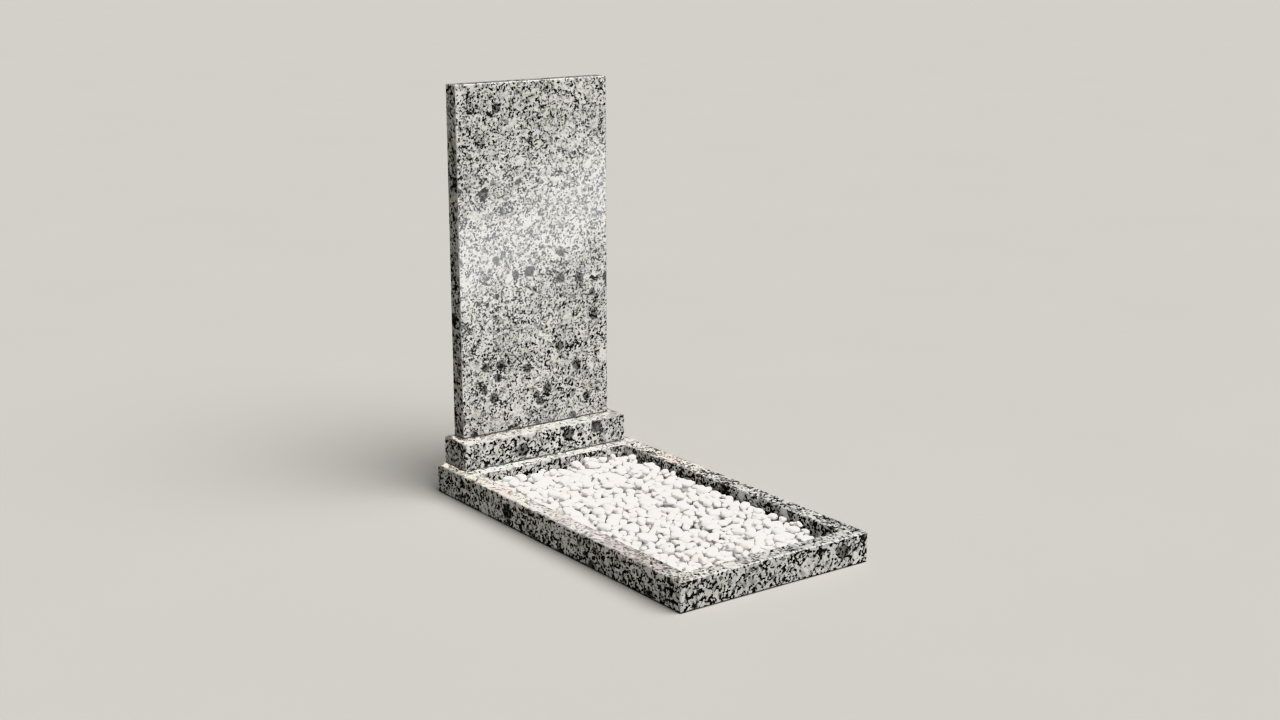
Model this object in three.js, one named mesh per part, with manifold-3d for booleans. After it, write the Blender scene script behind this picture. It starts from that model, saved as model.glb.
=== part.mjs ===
// An upright headstone: a polished granite slab on a plinth, at the head of a low granite kerb
// that is filled with loose white pebbles.
// Millimetres, +Z up. +Y points to the head end, +X to the right seen from the foot.
// The origin is the middle of the kerb's underside.

import * as THREE from "three";
import { mergeVertices } from "three/addons/utils/BufferGeometryUtils.js";
import Module from "manifold-3d";

// The upright slab.
const slabWidth = 500;
const slabHeight = 1000;
const slabThickness = 50;
const slabSetback = 12.5; // from the plinth's back face to the slab's

// The plinth that carries the slab. Its back face is flush with the kerb's.
const plinthWidth = 550;
const plinthHeight = 80;
const plinthDepth = 115;

// The kerb: a head block under the plinth, two side rails, and a foot rail between them.
const kerbWidth = 600;
const kerbLength = 1150;
const kerbHeight = 80;
const headBlockDepth = 150;
const sideRailWidth = 50;
const footRailWidth = 50;

// What all the stones share.
const arris = 2; // taken off every edge at 45 degrees
const joint = 0.3; // the film of adhesive between two stones

// The pebble fill.
const fillDepth = 44; // at the rails, between the pebbles
const fillCrown = 8; // how much higher the fill lies in the middle
const fillClearance = 0.5; // from the fill to the stones around it
const fillFacet = 160; // about the size of the fill's facets between the pebbles

// One pebble, before its own small changes of size.
const pebbleLength = 46;
const pebbleWidth = 38;
const pebbleThickness = 28;
const pebbleSpacing = 50;
const pebbleSizeChange = 0.16; // a pebble is up to this share larger or smaller
const pebbleShift = 5; // and lies up to this far from its place in the row
const pebbleTilt = 0.35; // radians
const pebbleSunk = 3; // how far its middle lies under the fill's surface
const pebbleSeed = 7;

const wasm = await Module();
wasm.setup();

const granite = {
  color: 0xa9a9a4,
  roughness: 0.25,
  metalness: 0,
};
const whiteMarble = {
  color: 0xf1efe9,
  roughness: 0.6,
  metalness: 0,
};

// A sawn block with its arrises taken off. It stands on z = 0, centred in x and y.
function dressedBlock(width, depth, height) {
  const x = width / 2;
  const y = depth / 2;
  const plan = new THREE.Shape([
    new THREE.Vector2(x, arris - y),
    new THREE.Vector2(x, y - arris),
    new THREE.Vector2(x - arris, y),
    new THREE.Vector2(arris - x, y),
    new THREE.Vector2(-x, y - arris),
    new THREE.Vector2(-x, arris - y),
    new THREE.Vector2(arris - x, -y),
    new THREE.Vector2(x - arris, -y),
  ]);
  const block = new THREE.ExtrudeGeometry(plan, {
    depth: height - 2 * arris,
    bevelSize: arris,
    bevelThickness: arris,
    bevelOffset: -arris,
    bevelSegments: 1,
  });
  return block.translate(0, 0, arris);
}

function stone(name, size, place) {
  const mesh = new THREE.Mesh(
    dressedBlock(size.width, size.depth, size.height),
    new THREE.MeshStandardMaterial(granite),
  );
  mesh.name = name;
  mesh.position.set(place.x, place.y, place.z);
  return mesh;
}

// A closed geometry as a solid that can be joined to another.
function solidOf(geometry) {
  const bare = geometry.clone();
  bare.deleteAttribute("normal");
  bare.deleteAttribute("uv");
  const merged = mergeVertices(bare, 1e-3);
  return new wasm.Manifold(
    new wasm.Mesh({
      numProp: 3,
      vertProperties: new Float32Array(merged.attributes.position.array),
      triVerts: new Uint32Array(merged.index.array),
    }),
  );
}

function geometryOf(solid) {
  const mesh = solid.getMesh();
  const geometry = new THREE.BufferGeometry();
  geometry.setAttribute("position", new THREE.BufferAttribute(mesh.vertProperties, 3));
  geometry.setIndex(new THREE.BufferAttribute(mesh.triVerts, 1));
  geometry.computeVertexNormals();
  return geometry;
}

// A repeatable stream of numbers between -1 and 1.
function spreadFrom(seed) {
  let state = seed;
  return () => {
    state = (Math.imul(state, 1664525) + 1013904223) >>> 0;
    return state / 2 ** 31 - 1;
  };
}

// The height of the fill between the pebbles: a low dome that runs out to fillDepth at the rails.
function fillHeight(x, y, width, length) {
  const across = 1 - (2 * x / width) ** 2;
  const along = 1 - (2 * y / length) ** 2;
  return fillDepth + fillCrown * Math.max(0, across) * Math.max(0, along);
}

function fillBody(width, length) {
  const columns = Math.max(2, Math.round(width / fillFacet));
  const rows = Math.max(2, Math.round(length / fillFacet));
  const body = new THREE.BoxGeometry(width, length, fillDepth, columns, rows, 1);
  body.translate(0, 0, fillDepth / 2);
  const points = body.attributes.position;
  for (let i = 0; i < points.count; i += 1) {
    if (points.getZ(i) > fillDepth / 2) {
      points.setZ(i, fillHeight(points.getX(i), points.getY(i), width, length));
    }
  }
  return solidOf(body);
}

// One tumbled pebble, lying roughly flat with its middle at the given point.
function pebble(x, y, z, spread) {
  const size = 1 + pebbleSizeChange * spread();
  const shape = new THREE.IcosahedronGeometry(1, 0);
  shape.scale(size * pebbleLength / 2, size * pebbleWidth / 2, size * pebbleThickness / 2);
  shape.rotateX(pebbleTilt * spread());
  shape.rotateZ(Math.PI * spread());
  shape.translate(x, y, z);
  return solidOf(shape);
}

// Pebbles lie in staggered rows, none closer to the rails than its own half length.
function pebbleFill(width, length) {
  const spread = spreadFrom(pebbleSeed);
  const reach = (1 + pebbleSizeChange) * pebbleLength / 2;
  const spanX = width - 2 * reach;
  const spanY = length - 2 * reach;
  const columns = Math.max(1, Math.floor(spanX / pebbleSpacing));
  const rows = Math.max(1, Math.floor(spanY / (pebbleSpacing * Math.sin(Math.PI / 3))));
  const solids = [fillBody(width, length)];
  for (let row = 0; row <= rows; row += 1) {
    const stagger = row % 2 ? 0.5 : 0;
    for (let column = 0; column <= columns - 2 * stagger; column += 1) {
      const placeX = -spanX / 2 + spanX * (column + stagger) / columns + pebbleShift * spread();
      const placeY = -spanY / 2 + spanY * row / rows + pebbleShift * spread();
      const x = THREE.MathUtils.clamp(placeX, -spanX / 2, spanX / 2);
      const y = THREE.MathUtils.clamp(placeY, -spanY / 2, spanY / 2);
      const z = fillHeight(x, y, width, length) - pebbleSunk;
      solids.push(pebble(x, y, z, spread));
    }
  }
  return geometryOf(wasm.Manifold.union(solids));
}

// The kerb, flat on the ground.
const kerb = new THREE.Group();
const headBlockFront = kerbLength / 2 - headBlockDepth;
const sideRailLength = kerbLength - headBlockDepth - joint;
const sideRailX = (kerbWidth - sideRailWidth) / 2;
const sideRailY = (sideRailLength - kerbLength) / 2;
const footRailLength = kerbWidth - 2 * sideRailWidth - 2 * joint;
const footRailY = (footRailWidth - kerbLength) / 2;

kerb.add(stone(
  "kerb_head_block",
  { width: kerbWidth, depth: headBlockDepth, height: kerbHeight },
  { x: 0, y: (kerbLength - headBlockDepth) / 2, z: 0 },
));
for (const [name, side] of [["kerb_left_rail", -1], ["kerb_right_rail", 1]]) {
  kerb.add(stone(
    name,
    { width: sideRailWidth, depth: sideRailLength, height: kerbHeight },
    { x: side * sideRailX, y: sideRailY, z: 0 },
  ));
}
kerb.add(stone(
  "kerb_foot_rail",
  { width: footRailLength, depth: footRailWidth, height: kerbHeight },
  { x: 0, y: footRailY, z: 0 },
));

// The plinth on the head block, and the slab on the plinth.
const headstone = new THREE.Group();
headstone.position.set(0, kerbLength / 2, kerbHeight + joint);
headstone.add(stone(
  "plinth",
  { width: plinthWidth, depth: plinthDepth, height: plinthHeight },
  { x: 0, y: -plinthDepth / 2, z: 0 },
));
headstone.add(stone(
  "headstone_slab",
  { width: slabWidth, depth: slabThickness, height: slabHeight },
  { x: 0, y: -slabSetback - slabThickness / 2, z: plinthHeight + joint },
));

// The pebbles, in the pocket between the rails.
const pocketWidth = kerbWidth - 2 * sideRailWidth - 2 * fillClearance;
const pocketBack = headBlockFront - fillClearance;
const pocketFront = footRailWidth - kerbLength / 2 + fillClearance;
const pebbleBed = new THREE.Mesh(
  pebbleFill(pocketWidth, pocketBack - pocketFront),
  new THREE.MeshStandardMaterial(whiteMarble),
);
pebbleBed.name = "pebble_bed";
pebbleBed.position.set(0, (pocketBack + pocketFront) / 2, 0);

const memorial = new THREE.Group();
memorial.add(kerb, headstone, pebbleBed);

export default memorial;
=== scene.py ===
import math

import bpy
import numpy as np
from mathutils import Matrix, Vector


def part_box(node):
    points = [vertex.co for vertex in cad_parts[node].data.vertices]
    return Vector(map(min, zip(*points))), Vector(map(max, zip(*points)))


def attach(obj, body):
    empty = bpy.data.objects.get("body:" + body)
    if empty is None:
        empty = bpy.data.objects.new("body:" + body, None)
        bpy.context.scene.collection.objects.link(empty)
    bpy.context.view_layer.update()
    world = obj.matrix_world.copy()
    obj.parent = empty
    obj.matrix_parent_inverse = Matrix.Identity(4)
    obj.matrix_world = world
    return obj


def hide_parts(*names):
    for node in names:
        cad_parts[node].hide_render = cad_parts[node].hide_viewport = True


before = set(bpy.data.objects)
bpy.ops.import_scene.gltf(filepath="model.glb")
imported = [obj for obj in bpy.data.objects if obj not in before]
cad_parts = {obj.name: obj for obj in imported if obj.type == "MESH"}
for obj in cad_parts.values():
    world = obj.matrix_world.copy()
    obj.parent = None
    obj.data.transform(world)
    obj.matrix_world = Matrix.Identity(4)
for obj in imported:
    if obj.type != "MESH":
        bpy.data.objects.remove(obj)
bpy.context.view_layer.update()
bpy.ops.object.select_all(action="DESELECT")
print("frame loaded:", ", ".join(sorted(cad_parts)))


# The camera, as the photograph has it.
camera = {
    "place": (-2.6932, -3.7085, 1.6068),
    "aim": (0.0, 0.0018, 0.4602),
    "lens": 50.0,  # millimetres, on a 36 mm sensor
    "sensor": 36.0,
    "farthest": 200.0,
}


def setUpCamera():
    lens = bpy.data.cameras.new("studioCamera")
    lens.lens = camera["lens"]
    lens.sensor_width = camera["sensor"]
    lens.clip_end = camera["farthest"]
    rig = bpy.data.objects.new("studioCamera", lens)
    bpy.context.collection.objects.link(rig)
    rig.location = camera["place"]
    look = Vector(camera["aim"]) - Vector(camera["place"])
    rig.rotation_euler = look.to_track_quat("-Z", "Y").to_euler()
    bpy.context.scene.camera = rig


# Short ways to add a shader node and to wire it up.
def addNode(tree, kind, inputs=(), **settings):
    node = tree.nodes.new(kind)
    for name, value in settings.items():
        setattr(node, name, value)
    for name, value in dict(inputs).items():
        if isinstance(value, bpy.types.NodeSocket):
            tree.links.new(value, node.inputs[name])
        else:
            node.inputs[name].default_value = value
    return node


def maths(tree, operation, first, second=0.0, third=0.0):
    values = {0: first, 1: second, 2: third}
    return addNode(tree, "ShaderNodeMath", values, operation=operation).outputs[0]


def vectorMaths(tree, operation, first, second):
    values = {0: first, 1: second}
    return addNode(tree, "ShaderNodeVectorMath", values, operation=operation).outputs[0]


def stretch(tree, value, low, high, toLow=0.0, toHigh=1.0):
    # A smooth step of value from low to high.
    values = {"Value": value, "From Min": low, "From Max": high, "To Min": toLow, "To Max": toHigh}
    node = addNode(tree, "ShaderNodeMapRange", values, interpolation_type="SMOOTHSTEP")
    return node.outputs["Result"]


def blend(tree, share, under, over, kind="MIX"):
    values = {0: share, 6: under, 7: over}
    node = addNode(tree, "ShaderNodeMix", values, data_type="RGBA", blend_type=kind)
    return node.outputs[2]


def darken(tree, colour, tone):
    grey = addNode(tree, "ShaderNodeCombineColor", {0: tone, 1: tone, 2: tone}).outputs[0]
    return blend(tree, 1.0, colour, grey, "MULTIPLY")


def colourSteps(tree, value, stops):
    node = addNode(tree, "ShaderNodeValToRGB", {0: value})
    steps = node.color_ramp.elements
    while len(steps) < len(stops):
        steps.new(0.5)
    for step, (place, colour) in zip(steps, stops):
        step.position = place
        step.color = (*colour, 1.0)
    return node.outputs["Color"]


def startMaterial(name):
    material = bpy.data.materials.new(name)
    material.use_nodes = True
    tree = material.node_tree
    tree.nodes.clear()
    return material, tree


def finishMaterial(tree, settings):
    shader = addNode(tree, "ShaderNodeBsdfPrincipled", settings)
    addNode(tree, "ShaderNodeOutputMaterial", {"Surface": shader.outputs[0]})


# Polished granite: one recipe, cut differently for each stone.
granite = {
    "grain": 0.0072,  # width of one grain of feldspar or quartz
    "fleck": 0.0044,  # width of one black fleck
    "chain": 0.017,  # size of the loops in which the flecks gather
    "clump": 0.034,  # size of the denser clumps
    "area": 0.085,  # size of the lighter and darker areas
    "crystal": 0.050,  # spacing of the large crystals, smoky or white
    "wander": 0.0045,  # how far the grain borders stray from straight
    "wanderScale": 0.55,  # waves of that straying on each grain
    "arris": 0.002,  # width of the edge that was taken off
    "arrisFade": (1.25, 0.85),  # depth at which the edge's look starts and is full, in arrises
    "footShadeLine": (2.2, 1.6),  # the same for the painted shade along a stone's foot
    "footShade": 0.85,  # how much it darkens
    "areaTone": (0.68, 0.40, 0.90, 1.04),  # noise from, noise to, tone from, tone to
    "fineTone": (0.25, 0.75, 0.88, 1.10),
    "fineScale": 900.0,  # waves per metre
    "tintScale": 34.0,
    "tinted": (0.58, 0.72),  # noise at which the yellow-green tint starts and is full
    "greenShare": 0.55,
    "topGreen": -0.8,  # how much less of it the top has
    "crystalFade": (0.36, 0.26),  # from a crystal's middle, in spacings
    "smokyStep": 0.02,
    "whiteKinds": (0.80, 0.84),
    "smokyShare": 0.88,  # how much of its own tone a crystal has
    "whiteShare": 0.45,
    "topSmoky": -0.75,  # how much fainter they are on the top, as painted sheen
    "inChain": (0.10, 0.0),  # noise at which a chain of flecks starts and is full
    "inClump": (0.50, 0.72),
    "moreBlack": {"smoky": 0.16, "white": -0.40},  # in the large crystals
    "fleckFade": (-0.03, 0.03),
    "pits": {"Strength": 0.10, "Distance": -0.0002},  # the flecks lie a little lower
    "rough": (0.21, 0.17),  # of the pale ground and of the flecks
    "gloss": (0.48, 0.9),
    "edgeShare": 0.08,  # how much of the edge's own tone shows
    "edgeRough": 0.16,  # how much rougher the edge is
    "grains": (  # grey quartz first, then white feldspar
        (0.00, (0.210, 0.210, 0.206)),
        (0.14, (0.330, 0.330, 0.322)),
        (0.24, (0.510, 0.505, 0.491)),
        (0.60, (0.620, 0.612, 0.597)),
        (1.00, (0.700, 0.691, 0.678)),
    ),
    "smokyTone": (0.105, 0.107, 0.106, 1.0),
    "whiteTone": (0.700, 0.695, 0.672, 1.0),
    "blackTone": (0.022, 0.022, 0.023, 1.0),
    "greenTone": (0.93, 0.95, 0.80, 1.0),
    "edgeTone": (0.66, 0.65, 0.62, 1.0),
}
stones = {
    # dark: share of black flecks, on the sides and on the top; the top's own share is painted light and
    # sheen.
    # gather: how far they gather in chains and in clumps.
    # smoky: share of smoky crystals, low down and high up.
    # pale: the tone of the stone on its front, its top and its narrow sides, each set to how lit that
    # face is: painted light and shade.
    # coarse: how much coarser the grain of the narrow sides is.
    # topPolish: roughness of the top, as a share of the sides'.
    # turn and start: how the stone was cut from the rock.
    "headstone_slab": {
        "scale": 1.0, "dark": (0.13, 0.17), "gather": (0.36, 0.30), "smoky": (0.46, 0.05),
        "pale": (1.0, 1.06, 0.74), "coarse": 1.5, "topPolish": 0.5,
        "turn": (0.8, 0.5, 0.6), "start": (3.1, 0.7, 1.9),
    },
    "plinth": {
        "scale": 1.3, "dark": (0.25, 0.06), "gather": (0.28, 0.16), "smoky": (0.24, 0.24),
        "pale": (1.01, 0.58, 0.90), "coarse": 1.0, "topPolish": 1.0,
        "turn": (0.9, 0.4, 0.7), "start": (7.3, 2.2, 4.1),
    },
    "kerb_head_block": {
        "scale": 1.35, "dark": (0.30, 0.09), "gather": (0.28, 0.16), "smoky": (0.26, 0.26),
        "pale": (0.94, 0.65, 0.95), "coarse": 1.0, "topPolish": 1.0,
        "turn": (0.5, 1.1, 0.2), "start": (1.4, 8.6, 3.3),
    },
    "kerb_left_rail": {
        "scale": 1.35, "dark": (0.29, 0.16), "gather": (0.28, 0.24), "smoky": (0.32, 0.32),
        "pale": (0.86, 0.55, 1.04), "coarse": 1.0, "topPolish": 1.0,
        "turn": (1.1, 0.4, 0.7), "start": (5.2, 6.1, 0.8),
    },
    "kerb_right_rail": {
        "scale": 1.35, "dark": (0.35, 0.34), "gather": (0.28, 0.16), "smoky": (0.30, 0.30),
        "pale": (0.90, 1.0, 1.0), "coarse": 1.0, "topPolish": 1.0,
        "turn": (0.4, 0.8, 1.2), "start": (9.7, 3.5, 6.4),
    },
    "kerb_foot_rail": {
        "scale": 1.35, "dark": (0.25, 0.16), "gather": (0.28, 0.16), "smoky": (0.20, 0.20),
        "pale": (0.85, 0.89, 0.85), "coarse": 1.0, "topPolish": 1.0,
        "turn": (0.7, 0.6, 0.5), "start": (2.5, 4.9, 8.8),
    },
}


def arrisShare(tree, place, low, high):
    # 1 on the dressed edge of a stone that fills the box from low to high, 0 on its faces.
    centre = (low + high) / 2
    half = (high - low) / 2
    offset = vectorMaths(tree, "SUBTRACT", place, centre)
    fromCentre = vectorMaths(tree, "ABSOLUTE", offset, (0, 0, 0))
    depth = vectorMaths(tree, "SUBTRACT", half, fromCentre)
    x, y, z = addNode(tree, "ShaderNodeSeparateXYZ", {0: depth}).outputs
    lesser = maths(tree, "MINIMUM", x, y)
    greater = maths(tree, "MAXIMUM", x, y)
    middle = maths(tree, "MAXIMUM", lesser, maths(tree, "MINIMUM", greater, z))
    return stretch(tree, middle, *(granite["arris"] * share for share in granite["arrisFade"]))


def noise(tree, place, scale, detail=1.0):
    values = {"Vector": place, "Scale": scale, "Detail": detail}
    return addNode(tree, "ShaderNodeTexNoise", values).outputs


def cells(tree, place, width):
    # Cells of about that width: how far each point is from its cell's middle, and the cell's kind.
    values = {"Vector": place, "Scale": 1 / width}
    cell = addNode(tree, "ShaderNodeTexVoronoi", values).outputs
    kind = addNode(tree, "ShaderNodeSeparateColor", {0: cell["Color"]}).outputs[0]
    return cell["Distance"], kind


def polishedGranite(name):
    stone = stones[name]
    low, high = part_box(name)
    material, tree = startMaterial(name + "_granite")
    place = addNode(tree, "ShaderNodeTexCoord").outputs["Object"]
    x, y, z = addNode(tree, "ShaderNodeSeparateXYZ", {0: place}).outputs
    side = max(abs(low.x), abs(high.x))
    arris = granite["arris"]
    onThin = stretch(tree, maths(tree, "ABSOLUTE", x), side - arris, side - arris / 2)
    onTop = stretch(tree, z, high.z - arris, high.z - arris / 2)
    onBottom = stretch(tree, z, *(low.z + arris * share for share in granite["footShadeLine"]))
    finer = maths(tree, "MULTIPLY_ADD", onThin, 1 / stone["coarse"] - 1, 1.0)
    scaled = addNode(tree, "ShaderNodeVectorMath", {0: place, "Scale": finer}, operation="SCALE")
    cut = addNode(tree, "ShaderNodeMapping", {
        "Vector": scaled.outputs[0],
        "Location": stone["start"],
        "Rotation": stone["turn"],
        "Scale": [1 / stone["scale"]] * 3,
    }).outputs[0]

    # Grain borders that wander.
    sway = noise(tree, cut, granite["wanderScale"] / granite["grain"], 2.0)["Color"]
    shift = vectorMaths(tree, "SUBTRACT", sway, (0.5, 0.5, 0.5))
    swayed = vectorMaths(tree, "MULTIPLY_ADD", shift, [2 * granite["wander"]] * 3)
    tree.links.new(cut, swayed.node.inputs[2])

    # The pale ground: white feldspar, with grey quartz grains between, and painted shade along the
    # foot.
    _, grainKind = cells(tree, swayed, granite["grain"])
    ground = colourSteps(tree, grainKind, granite["grains"])
    areas = noise(tree, cut, 1 / granite["area"])[0]
    # Painted light and shade: each face has its own tone, set to how lit it is.
    paleFront, paleTop, paleThin = stone["pale"]
    paleness = maths(tree, "MULTIPLY_ADD", onThin, paleThin - paleFront, paleFront)
    paleness = maths(tree, "MULTIPLY_ADD", onTop, paleTop - paleFront, paleness)
    paleness = maths(tree, "MULTIPLY", paleness, stretch(tree, areas, *granite["areaTone"]))
    # Painted shade: a thin strip along each stone's foot is darkened, where it sits on the stone below
    # or on the floor.
    unshaded = maths(tree, "MULTIPLY_ADD", onBottom, -granite["footShade"], 1.0)
    ground = darken(tree, ground, maths(tree, "MULTIPLY", paleness, unshaded))

    # Large crystals: some smoky, a few white.
    fromMiddle, crystalKind = cells(tree, swayed, granite["crystal"])
    inCrystal = stretch(tree, fromMiddle, *granite["crystalFade"])
    kinds = stretch(tree, z, low.z, high.z, *stone["smoky"])
    smoky = maths(tree, "SUBTRACT", kinds, crystalKind)
    smoky = stretch(tree, smoky, 0.0, granite["smokyStep"])
    smoky = maths(tree, "MULTIPLY", smoky, inCrystal)
    # Painted sheen: the smoky crystals are fainter on the top.
    fainter = maths(tree, "MULTIPLY_ADD", onTop, granite["topSmoky"], 1.0)
    smoky = maths(tree, "MULTIPLY", smoky, fainter)
    white = stretch(tree, crystalKind, *granite["whiteKinds"])
    white = maths(tree, "MULTIPLY", white, inCrystal)
    for crystal, kind in ((smoky, "smoky"), (white, "white")):
        amount = maths(tree, "MULTIPLY", crystal, granite[kind + "Share"])
        ground = blend(tree, amount, ground, granite[kind + "Tone"])

    # Black flecks, in chains and clumps.
    _, fleckKind = cells(tree, swayed, granite["fleck"])
    chains = noise(tree, swayed, 1 / granite["chain"])[0]
    fromChain = maths(tree, "ABSOLUTE", maths(tree, "SUBTRACT", chains, 0.5))
    chained = stretch(tree, fromChain, *granite["inChain"])
    clumps = noise(tree, swayed, 1 / granite["clump"])[0]
    clumped = stretch(tree, clumps, *granite["inClump"])
    inChains, inClumps = stone["gather"]
    darkSides, darkTop = stone["dark"]
    share = maths(tree, "MULTIPLY_ADD", chained, inChains, darkSides)
    share = maths(tree, "MULTIPLY_ADD", clumped, inClumps, share)
    # Painted light and sheen: the top has its own share of flecks.
    share = maths(tree, "MULTIPLY_ADD", onTop, darkTop - darkSides, share)
    share = maths(tree, "MULTIPLY_ADD", smoky, granite["moreBlack"]["smoky"], share)
    share = maths(tree, "MULTIPLY_ADD", white, granite["moreBlack"]["white"], share)
    black = maths(tree, "SUBTRACT", share, fleckKind)
    black = stretch(tree, black, *granite["fleckFade"])
    colour = blend(tree, black, ground, granite["blackTone"])

    # A faint yellow-green tint here and there, and the fine structure of the grains.
    tint = stretch(tree, noise(tree, cut, granite["tintScale"])[0], *granite["tinted"])
    green = maths(tree, "MULTIPLY_ADD", onTop, granite["topGreen"], tint)
    green = maths(tree, "MULTIPLY", green, granite["greenShare"])
    colour = blend(tree, green, colour, granite["greenTone"], "MULTIPLY")
    fine = noise(tree, cut, granite["fineScale"], 2.0)[0]
    colour = darken(tree, colour, stretch(tree, fine, *granite["fineTone"]))

    # The dressed edge is a little paler and less polished.
    edge = arrisShare(tree, place, low, high)
    edgeAmount = maths(tree, "MULTIPLY", edge, granite["edgeShare"])
    colour = blend(tree, edgeAmount, colour, granite["edgeTone"])
    rough = stretch(tree, black, 0.0, 1.0, *granite["rough"])
    polish = maths(tree, "MULTIPLY_ADD", onTop, stone["topPolish"] - 1, 1.0)
    rough = maths(tree, "MULTIPLY", rough, polish)
    rough = maths(tree, "MULTIPLY_ADD", edge, granite["edgeRough"], rough)
    pits = addNode(tree, "ShaderNodeBump", {"Height": black, **granite["pits"]})
    gloss = stretch(tree, black, 0.0, 1.0, *granite["gloss"])
    finishMaterial(tree, {
        "Base Color": colour,
        "Roughness": rough,
        "Specular IOR Level": gloss,
        "Normal": pits.outputs[0],
    })
    return material


def dressStones():
    for name in stones:
        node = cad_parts[name]
        node.data.materials.clear()
        node.data.materials.append(polishedGranite(name))
    print("granite on", len(stones), "stones")


# The loose pebbles, each resting on what lies under it.
pebbles = {
    "seed": 5,
    "shapes": 16,  # pebbles that are modelled; the rest are copies of them
    "length": 0.039,  # of the usual one
    "spread": 0.35,  # how much they differ, on a log scale
    "shortest": 0.015,
    "longest": 0.072,
    "widthShare": (0.62, 0.95),
    "thickShare": (0.40, 0.70),
    "taper": (0.45, 1.0),  # width of a pebble's narrow end, as a share of the other
    "round": (0.30, 0.70),  # how near it comes to a ball
    "lumps": 0.30,  # how far its surface strays, as a share of its size
    "lumpSize": 0.7,
    "smoothing": 0.5,
    "cuts": 2,  # along each side of the cube that it is made from
    "narrowFrom": 0.4,  # where on that cube the narrow end begins
    "apart": 3.7,  # how far apart they are modelled, so that each is lumped differently
    "cell": 0.002,  # of the height map on which they are laid
    "spots": 36,  # places looked at for each pebble, of which it takes the lowest
    "turns": 14,  # ways it is turned there, of which it keeps the lowest
    "swing": 0.5,  # radians that it turns about upright
    "rock": 0.30,  # radians that it tilts
    "gap": 0.0006,  # to the stones around
    "misses": 60,  # pebbles in a row that find no room before the pocket counts as full
    "strays": 300,  # then dropped anywhere on the pile
    "straySpots": 2,
    "outOfTheWay": 1.0,  # metres up or down, where a height map has nothing
}
pile = {
    "top": 0.064,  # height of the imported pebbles' tops in the middle
    "nearHead": 0.010,  # how much lower they lie against the head block
    "nearRight": 0.007,  # and against the right rail
    "slope": 0.09,  # how far out from a stone the pile starts to fall
    "corner": 0.036,  # how much lower they lie in the right corner at the foot
    "cornerReach": 0.15,
    "uneven": 0.005,  # how far that level goes up and down
    "waves": ((61, 23, 0.4), (-28, 67, 2.1), (43, -49, 4.0)),  # along x, along y and from where
    "proud": 0.003,  # how far one pebble may stand over the level
    "strayProud": 0.016,  # and how far a stray one
}


def lumpTexture():
    clouds = bpy.data.textures.new("pebbleLumps", "CLOUDS")
    clouds.noise_scale = pebbles["lumpSize"]
    clouds.noise_depth = 1
    return clouds


def pebbleShape(number, chance, clouds):
    # One tumbled pebble, in the end at the origin in a box of 1 by 1 by 1.
    bpy.ops.object.select_all(action="DESELECT")
    bpy.ops.mesh.primitive_cube_add(size=1.0, location=(pebbles["apart"] * number, 0, 0))
    shape = bpy.context.object
    shape.name = f"pebbleShape{number}"
    bpy.ops.object.mode_set(mode="EDIT")
    bpy.ops.mesh.select_all(action="SELECT")
    bpy.ops.mesh.subdivide(number_cuts=pebbles["cuts"])
    bpy.ops.object.mode_set(mode="OBJECT")
    for vertex in shape.data.vertices:
        vertex.select = vertex.co.x > pebbles["narrowFrom"]
    for part in (*shape.data.edges, *shape.data.polygons):
        part.select = all(shape.data.vertices[i].select for i in part.vertices)
    bpy.ops.object.mode_set(mode="EDIT")
    narrow = (1, chance.uniform(*pebbles["taper"]), chance.uniform(*pebbles["taper"]))
    bpy.ops.transform.resize(value=narrow, center_override=shape.location)
    bpy.ops.object.mode_set(mode="OBJECT")
    ball = shape.modifiers.new("ball", "CAST")
    ball.cast_type = "SPHERE"
    ball.factor = chance.uniform(*pebbles["round"])
    ball.size = 0.5  # its radius
    ball.use_radius_as_size = False
    bpy.ops.object.modifier_apply(modifier=ball.name)
    lumps = shape.modifiers.new("lumps", "DISPLACE")
    lumps.texture = clouds
    lumps.texture_coords = "GLOBAL"
    lumps.mid_level = 0.5
    lumps.strength = pebbles["lumps"] * 2  # half of it up and half down
    bpy.ops.object.modifier_apply(modifier=lumps.name)
    tumbled = shape.modifiers.new("tumbled", "SMOOTH")
    tumbled.factor = pebbles["smoothing"]
    tumbled.iterations = 1
    bpy.ops.object.modifier_apply(modifier=tumbled.name)
    points = np.array([v.co for v in shape.data.vertices])
    middle = (points.min(0) + points.max(0)) / 2
    size = points.max(0) - points.min(0)
    shape.location = (0, 0, 0)
    shape.data.transform(Matrix.Diagonal((*(1 / size), 1)) @ Matrix.Translation(-Vector(middle)))
    return shape


def shapeOutline(shape):
    # A pebble's corners, and the planes that it lies behind, each as a normal and its distance.
    corners = np.array([v.co for v in shape.data.vertices])
    normals = np.array([face.normal for face in shape.data.polygons])
    return corners, normals, (normals @ corners.T).max(1)


def pocketBox():
    gap = pebbles["gap"]
    low = Vector((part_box("kerb_left_rail")[1].x + gap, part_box("kerb_foot_rail")[1].y + gap, 0.0))
    high = Vector((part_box("kerb_right_rail")[0].x - gap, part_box("kerb_head_block")[0].y - gap, 0.0))
    return low, high


def pileLevel(x, y, low, high):
    def fall(distance, reach):
        share = np.clip(1 - distance / reach, 0, 1)
        return share * share * (3 - 2 * share)

    level = pile["top"] - pile["nearHead"] * fall(high.y - y, pile["slope"])
    level = level - pile["nearRight"] * fall(high.x - x, pile["slope"])
    level = level - pile["corner"] * fall(np.hypot(high.x - x, y - low.y), pile["cornerReach"])
    waves = sum(np.sin(alongX * x + alongY * y + begin) for alongX, alongY, begin in pile["waves"])
    return level + pile["uneven"] * waves / len(pile["waves"])


def turned(yaw, rock, rockTowards):
    lean = Matrix.Rotation(rock, 3, Vector((math.cos(rockTowards), math.sin(rockTowards), 0)))
    return np.array(lean @ Matrix.Rotation(yaw, 3, "Z"))


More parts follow.
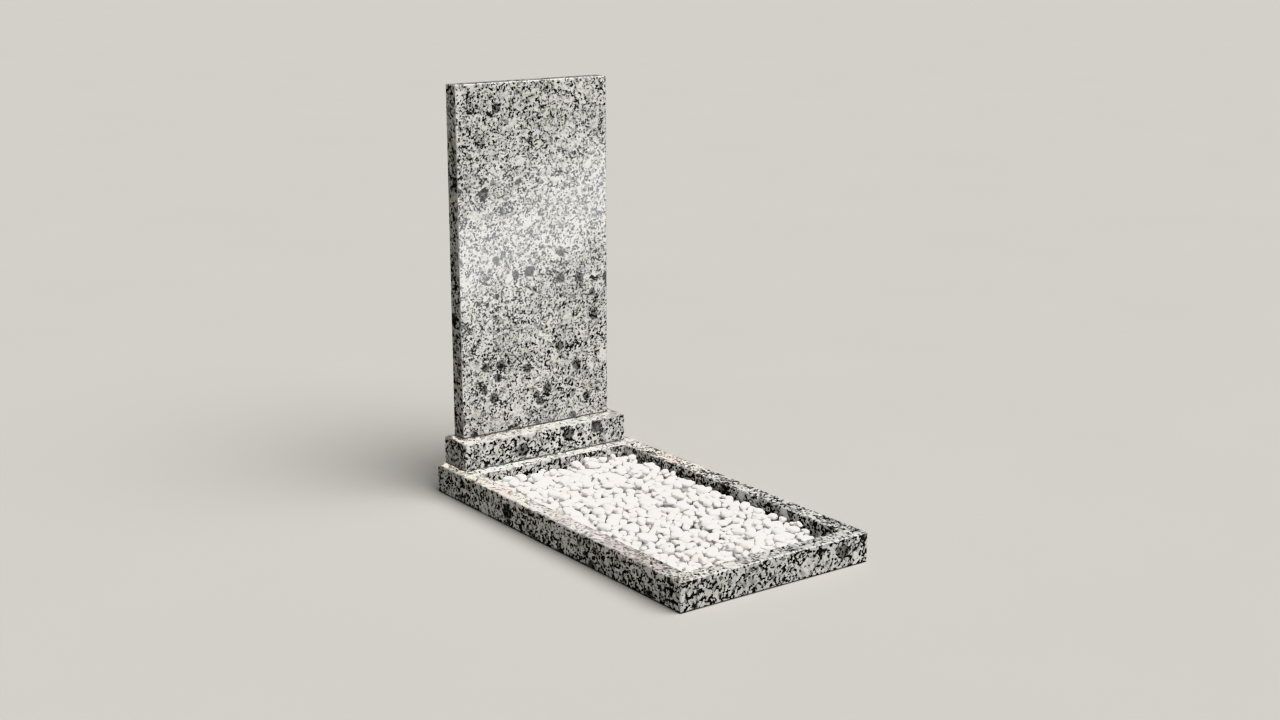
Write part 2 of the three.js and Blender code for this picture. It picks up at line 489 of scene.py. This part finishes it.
def stoneHeights(outline, size, turn):
    # Heights of a pebble's underside and top over its middle, on the cells that it covers,
    # and its highest point.
    corners, normals, distances = outline
    cell = pebbles["cell"]
    placed = (corners * size) @ turn.T
    reachX, reachY = (int(np.abs(placed[:, i]).max() / cell + 0.5) for i in (0, 1))
    planes = (normals / size) @ turn.T
    x = np.arange(-reachX, reachX + 1)[:, None, None] * cell
    y = np.arange(-reachY, reachY + 1)[None, :, None] * cell
    left = distances - planes[:, 0] * x - planes[:, 1] * y
    slope = planes[:, 2]
    flat = 1e-3 * np.abs(planes).max()
    over = (left[:, :, slope > flat] / slope[slope > flat]).min(2)
    under = (left[:, :, slope < -flat] / slope[slope < -flat]).max(2)
    inside = over > under
    under = np.where(inside, under, pebbles["outOfTheWay"])
    over = np.where(inside, over, -pebbles["outOfTheWay"])
    under[reachX, reachY] = placed[:, 2].min()
    return under, over, placed[:, 2].max()


def windowAt(ground, column, row, reachX, reachY):
    # The cells of the height map under a pebble with its middle at the given cell.
    return ground[column - reachX:column + reachX + 1, row - reachY:row + reachY + 1]


def restHeight(ground, under, column, row):
    reachX, reachY = under.shape[0] // 2, under.shape[1] // 2
    fitsX = reachX <= column < ground.shape[0] - reachX
    fitsY = reachY <= row < ground.shape[1] - reachY
    if not (fitsX and fitsY):
        return math.inf
    return (windowAt(ground, column, row, reachX, reachY) - under).max()


def layPebble(outlines, chance, ground, level, spots, proud):
    # Lays one pebble where it comes to rest lowest of some spots, if its top stays under the
    # level there.
    number = int(chance.integers(len(outlines)))
    length = pebbles["length"] * math.exp(chance.normal(0, pebbles["spread"]))
    length = min(max(length, pebbles["shortest"]), pebbles["longest"])
    width = chance.uniform(*pebbles["widthShare"])
    thickness = chance.uniform(*pebbles["thickShare"])
    size = length * np.array([1.0, width, thickness])
    yaw = chance.uniform(0, math.tau)
    turn = turned(yaw, 0.0, 0.0)
    under, over, top = stoneHeights(outlines[number], size, turn)
    reachX, reachY = under.shape[0] // 2, under.shape[1] // 2
    columns = chance.integers(reachX, ground.shape[0] - reachX, spots)
    rows = chance.integers(reachY, ground.shape[1] - reachY, spots)
    windows = np.lib.stride_tricks.sliding_window_view(ground, under.shape)
    heights = (windows[columns - reachX, rows - reachY] - under).max(axis=(1, 2))
    heights[heights + top > level[columns, rows] + proud] = math.inf
    best = int(np.argmin(heights))
    if heights[best] == math.inf:
        return None
    column, row, height = columns[best], rows[best], heights[best]
    for _ in range(pebbles["turns"]):
        tryYaw = yaw + chance.normal(0, pebbles["swing"])
        rock = chance.normal(0, pebbles["rock"])
        tryTurn = turned(tryYaw, rock, chance.uniform(0, math.tau))
        tryUnder, tryOver, tryTop = stoneHeights(outlines[number], size, tryTurn)
        tryHeight = restHeight(ground, tryUnder, column, row)
        if tryHeight < height and tryHeight + tryTop < level[column, row] + proud:
            turn, over, height = tryTurn, tryOver, tryHeight
    window = windowAt(ground, column, row, over.shape[0] // 2, over.shape[1] // 2)
    np.maximum(window, height + over, out=window)
    return number, column, row, height, size, turn


def layPebbles(outlines):
    # Fills the pocket to the pile's level, and drops stray pebbles on top.
    chance = np.random.default_rng(pebbles["seed"])
    low, high = pocketBox()
    cell = pebbles["cell"]
    ground = np.zeros((int((high.x - low.x) / cell), int((high.y - low.y) / cell)))
    x = low.x + cell * (np.arange(ground.shape[0]) + 0.5)
    y = low.y + cell * (np.arange(ground.shape[1]) + 0.5)
    level = pileLevel(x[:, None], y[None, :], low, high)
    laid = []
    misses = 0
    while misses < pebbles["misses"]:
        stone = layPebble(outlines, chance, ground, level, pebbles["spots"], pile["proud"])
        misses = 0 if stone else misses + 1
        laid.append(stone)
    for _ in range(pebbles["strays"]):
        spots, proud = pebbles["straySpots"], pile["strayProud"]
        laid.append(layPebble(outlines, chance, ground, level, spots, proud))
    return [
        (number, (x[column], y[row], height), size, turn, level[column, row])
        for number, column, row, height, size, turn in filter(None, laid)
    ]


def addAttribute(mesh, name, values):
    mesh.attributes.new(name, "FLOAT", "POINT").data.foreach_set("value", values)


def makePebbles():
    chance = np.random.default_rng(pebbles["seed"] + 1)
    clouds = lumpTexture()
    shapes = [pebbleShape(number, chance, clouds) for number in range(pebbles["shapes"])]
    laid = layPebbles([shapeOutline(shape) for shape in shapes])
    copies = []
    for number, place, size, turn, level in laid:
        copied = bpy.data.objects.new("pebble", shapes[number].data.copy())
        bpy.context.collection.objects.link(copied)
        turnAndSize = Matrix(turn.tolist()).to_4x4() @ Matrix.Diagonal((*size, 1))
        copied.data.transform(Matrix.Translation(place) @ turnAndSize)
        points = copied.data.vertices
        addAttribute(copied.data, "pebbleTone", [chance.uniform(0, 1)] * len(points))
        # How deep each point lies under the pile's level, for the painted shade between the pebbles.
        addAttribute(copied.data, "pebbleDepth", [level - point.co.z for point in points])
        copies.append(copied)
    for shape in shapes:
        bpy.data.objects.remove(shape)
    bpy.ops.object.select_all(action="DESELECT")
    for copied in copies:
        copied.select_set(True)
    bpy.context.view_layer.objects.active = copies[0]
    bpy.ops.object.join()
    joined = bpy.context.object
    joined.name = "loose_pebbles"
    bpy.ops.object.shade_smooth()
    joined.visible_glossy = False  # the kerb's inner faces stay as dark as the photo has them
    joined.data.materials.clear()
    joined.data.materials.append(whiteMarble())
    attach(joined, "root")
    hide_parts("pebble_bed")
    print("pebbles laid:", len(laid), "faces:", len(joined.data.polygons))


marble = {
    "tones": (  # of the pebbles, from few greyish ones over most to few bluish ones
        (0.00, (0.835, 0.810, 0.785)),
        (0.12, (0.872, 0.854, 0.842)),
        (0.75, (0.892, 0.878, 0.869)),
        (1.00, (0.860, 0.856, 0.862)),
    ),
    "clouds": {"Scale": 70.0, "Detail": 4.0, "Distortion": 1.2},
    "veiled": (0.55, 0.75),  # noise at which the grey veil starts and is full
    "veil": (0.64, 0.635, 0.62, 1.0),
    "veilShare": 0.16,
    "shadeDepths": (0.008, 0.026),  # depth under the pile's level at which painted shade begins to darken them, and where it is full
    "shadeLeft": 0.50,  # what the painted shade leaves of the tone
    "poreScale": 700.0,  # waves per metre
    "pores": {"Strength": 0.25, "Distance": 0.0004},
    "rough": (0.3, 0.7, 0.48, 0.62),  # noise from, noise to, roughness from, roughness to
}


def whiteMarble():
    material, tree = startMaterial("whiteMarble")
    place = addNode(tree, "ShaderNodeTexCoord").outputs["Object"]
    tone = addNode(tree, "ShaderNodeAttribute", attribute_name="pebbleTone").outputs["Fac"]
    colour = colourSteps(tree, tone, marble["tones"])
    cloud = addNode(tree, "ShaderNodeTexNoise", {"Vector": place, **marble["clouds"]}).outputs[0]
    veiled = stretch(tree, cloud, *marble["veiled"])
    veil = maths(tree, "MULTIPLY", veiled, marble["veilShare"])
    colour = blend(tree, veil, colour, marble["veil"])
    # Painted shade: the deeper a pebble lies under the pile's level, the darker it is, in place of the
    # shade in the gaps.
    depth = addNode(tree, "ShaderNodeAttribute", attribute_name="pebbleDepth").outputs["Fac"]
    colour = darken(tree, colour, stretch(tree, depth, *marble["shadeDepths"], 1.0, marble["shadeLeft"]))
    pores = noise(tree, place, marble["poreScale"], 2.0)[0]
    skin = addNode(tree, "ShaderNodeBump", {"Height": pores, **marble["pores"]})
    rough = stretch(tree, cloud, *marble["rough"])
    finishMaterial(tree, {
        "Base Color": colour,
        "Roughness": rough,
        "Normal": skin.outputs[0],
    })
    return material


# A plain pale floor and soft light.
studio = {
    "floorSize": 160.0,
    "floorTone": (0.42, 0.412, 0.397),
    "floorMottle": (0.985, 1.015),  # how far that tone goes up and down
    "mottleScale": 1.4,  # waves per metre
    "floorDrop": 0.0003,  # how far the floor lies under the stones
    "worldTone": (0.085, 0.083, 0.080),
    "keyFrom": (0.257, -0.429, 0.866),
    "keyStrength": 5.5,
    "keySoftness": 60.0,  # degrees
    "keyTone": (1.0, 0.985, 0.955),
    "fillFrom": (-0.93, -0.2, 0.3),
    "fillStrength": 0.35,
    "fillSoftness": 100.0,
}
sheen = {
    # A soft light from behind, which shows only as a gloss on the stones' tops.
    "azimuth": 24.0,  # degrees from +Y towards +X
    "height": 22.0,
    "softness": 27.0,
    "strength": 0.37,
    "tone": (1.0, 0.885, 0.755),
}
streak = {
    # Slanting strips, one within the other, which the slab mirrors as one soft band.
    "place": (0.97, -1.0, 0.43),
    "aim": (0.0, 0.51, 0.74),
    "length": 1.5,
    "widths": (0.08, 0.17, 0.26),
    "tilt": 26.0,
    "glow": 4.8,  # of each strip
    "tone": (0.95, 0.97, 1.0),
}


def addGloss(name, lamp, turn, place=(0, 0, 0)):
    # A light that is seen only in polished stone.
    lit = bpy.data.objects.new(name, lamp)
    bpy.context.collection.objects.link(lit)
    lit.location = place
    lit.rotation_euler = turn.to_euler()
    lit.visible_camera = False
    lit.visible_diffuse = False


def addSheen():
    lamp = bpy.data.lights.new("sheen", "SUN")
    lamp.energy = sheen["strength"]
    lamp.angle = math.radians(sheen["softness"])
    lamp.color = sheen["tone"]
    lamp.use_shadow = False
    lamp.cycles.use_multiple_importance_sampling = False
    azimuth, height = math.radians(sheen["azimuth"]), math.radians(sheen["height"])
    level = math.cos(height)
    away = Vector((math.sin(azimuth) * level, math.cos(azimuth) * level, math.sin(height)))
    addGloss("sheen", lamp, away.to_track_quat("Z", "Y"))


def addStreak():
    look = (Vector(streak["aim"]) - Vector(streak["place"])).to_track_quat("-Z", "Y")
    turn = look.to_matrix() @ Matrix.Rotation(math.radians(streak["tilt"]), 3, "Z")
    for number, width in enumerate(streak["widths"]):
        lamp = bpy.data.lights.new(f"streak{number}", "AREA")
        lamp.shape = "RECTANGLE"
        lamp.size, lamp.size_y = streak["length"], width
        lamp.energy = streak["glow"] * math.pi * streak["length"] * width
        lamp.color = streak["tone"]
        addGloss(lamp.name, lamp, turn, streak["place"])


def paleFloor():
    bpy.ops.object.select_all(action="DESELECT")
    under = (0, 0, -studio["floorDrop"])
    bpy.ops.mesh.primitive_plane_add(size=studio["floorSize"], location=under)
    floor = bpy.context.object
    floor.name = "studioFloor"
    material, tree = startMaterial("paleFloor")
    place = addNode(tree, "ShaderNodeTexCoord").outputs["Object"]
    tones = [(*(share * c for c in studio["floorTone"]), 1.0) for share in studio["floorMottle"]]
    mottle = noise(tree, place, studio["mottleScale"], 3.0)[0]
    colour = blend(tree, mottle, *tones)
    finishMaterial(tree, {"Base Color": colour, "Roughness": 0.95, "Specular IOR Level": 0.0})
    floor.data.materials.append(material)
    floor.visible_glossy = False  # polished faces stay as dark as they are out of doors


def addSoftSun(name, towards, strength, softness):
    sun = bpy.data.lights.new(name, "SUN")
    sun.energy = strength
    sun.angle = math.radians(softness)
    sun.color = studio["keyTone"]
    lit = bpy.data.objects.new(name, sun)
    bpy.context.collection.objects.link(lit)
    lit.rotation_euler = Vector(towards).to_track_quat("Z", "Y").to_euler()


def setUpStudio():
    paleFloor()
    world = bpy.data.worlds.new("studioWorld")
    world.use_nodes = True
    world.node_tree.nodes["Background"].inputs["Color"].default_value = (*studio["worldTone"], 1.0)
    bpy.context.scene.world = world
    addSoftSun("keyLight", studio["keyFrom"], studio["keyStrength"], studio["keySoftness"])
    addSoftSun("fillLight", studio["fillFrom"], studio["fillStrength"], studio["fillSoftness"])
    addSheen()
    addStreak()
    bpy.context.scene.view_settings.view_transform = "Khronos PBR Neutral"
    print("studio set up")


setUpCamera()
setUpStudio()
dressStones()
makePebbles()
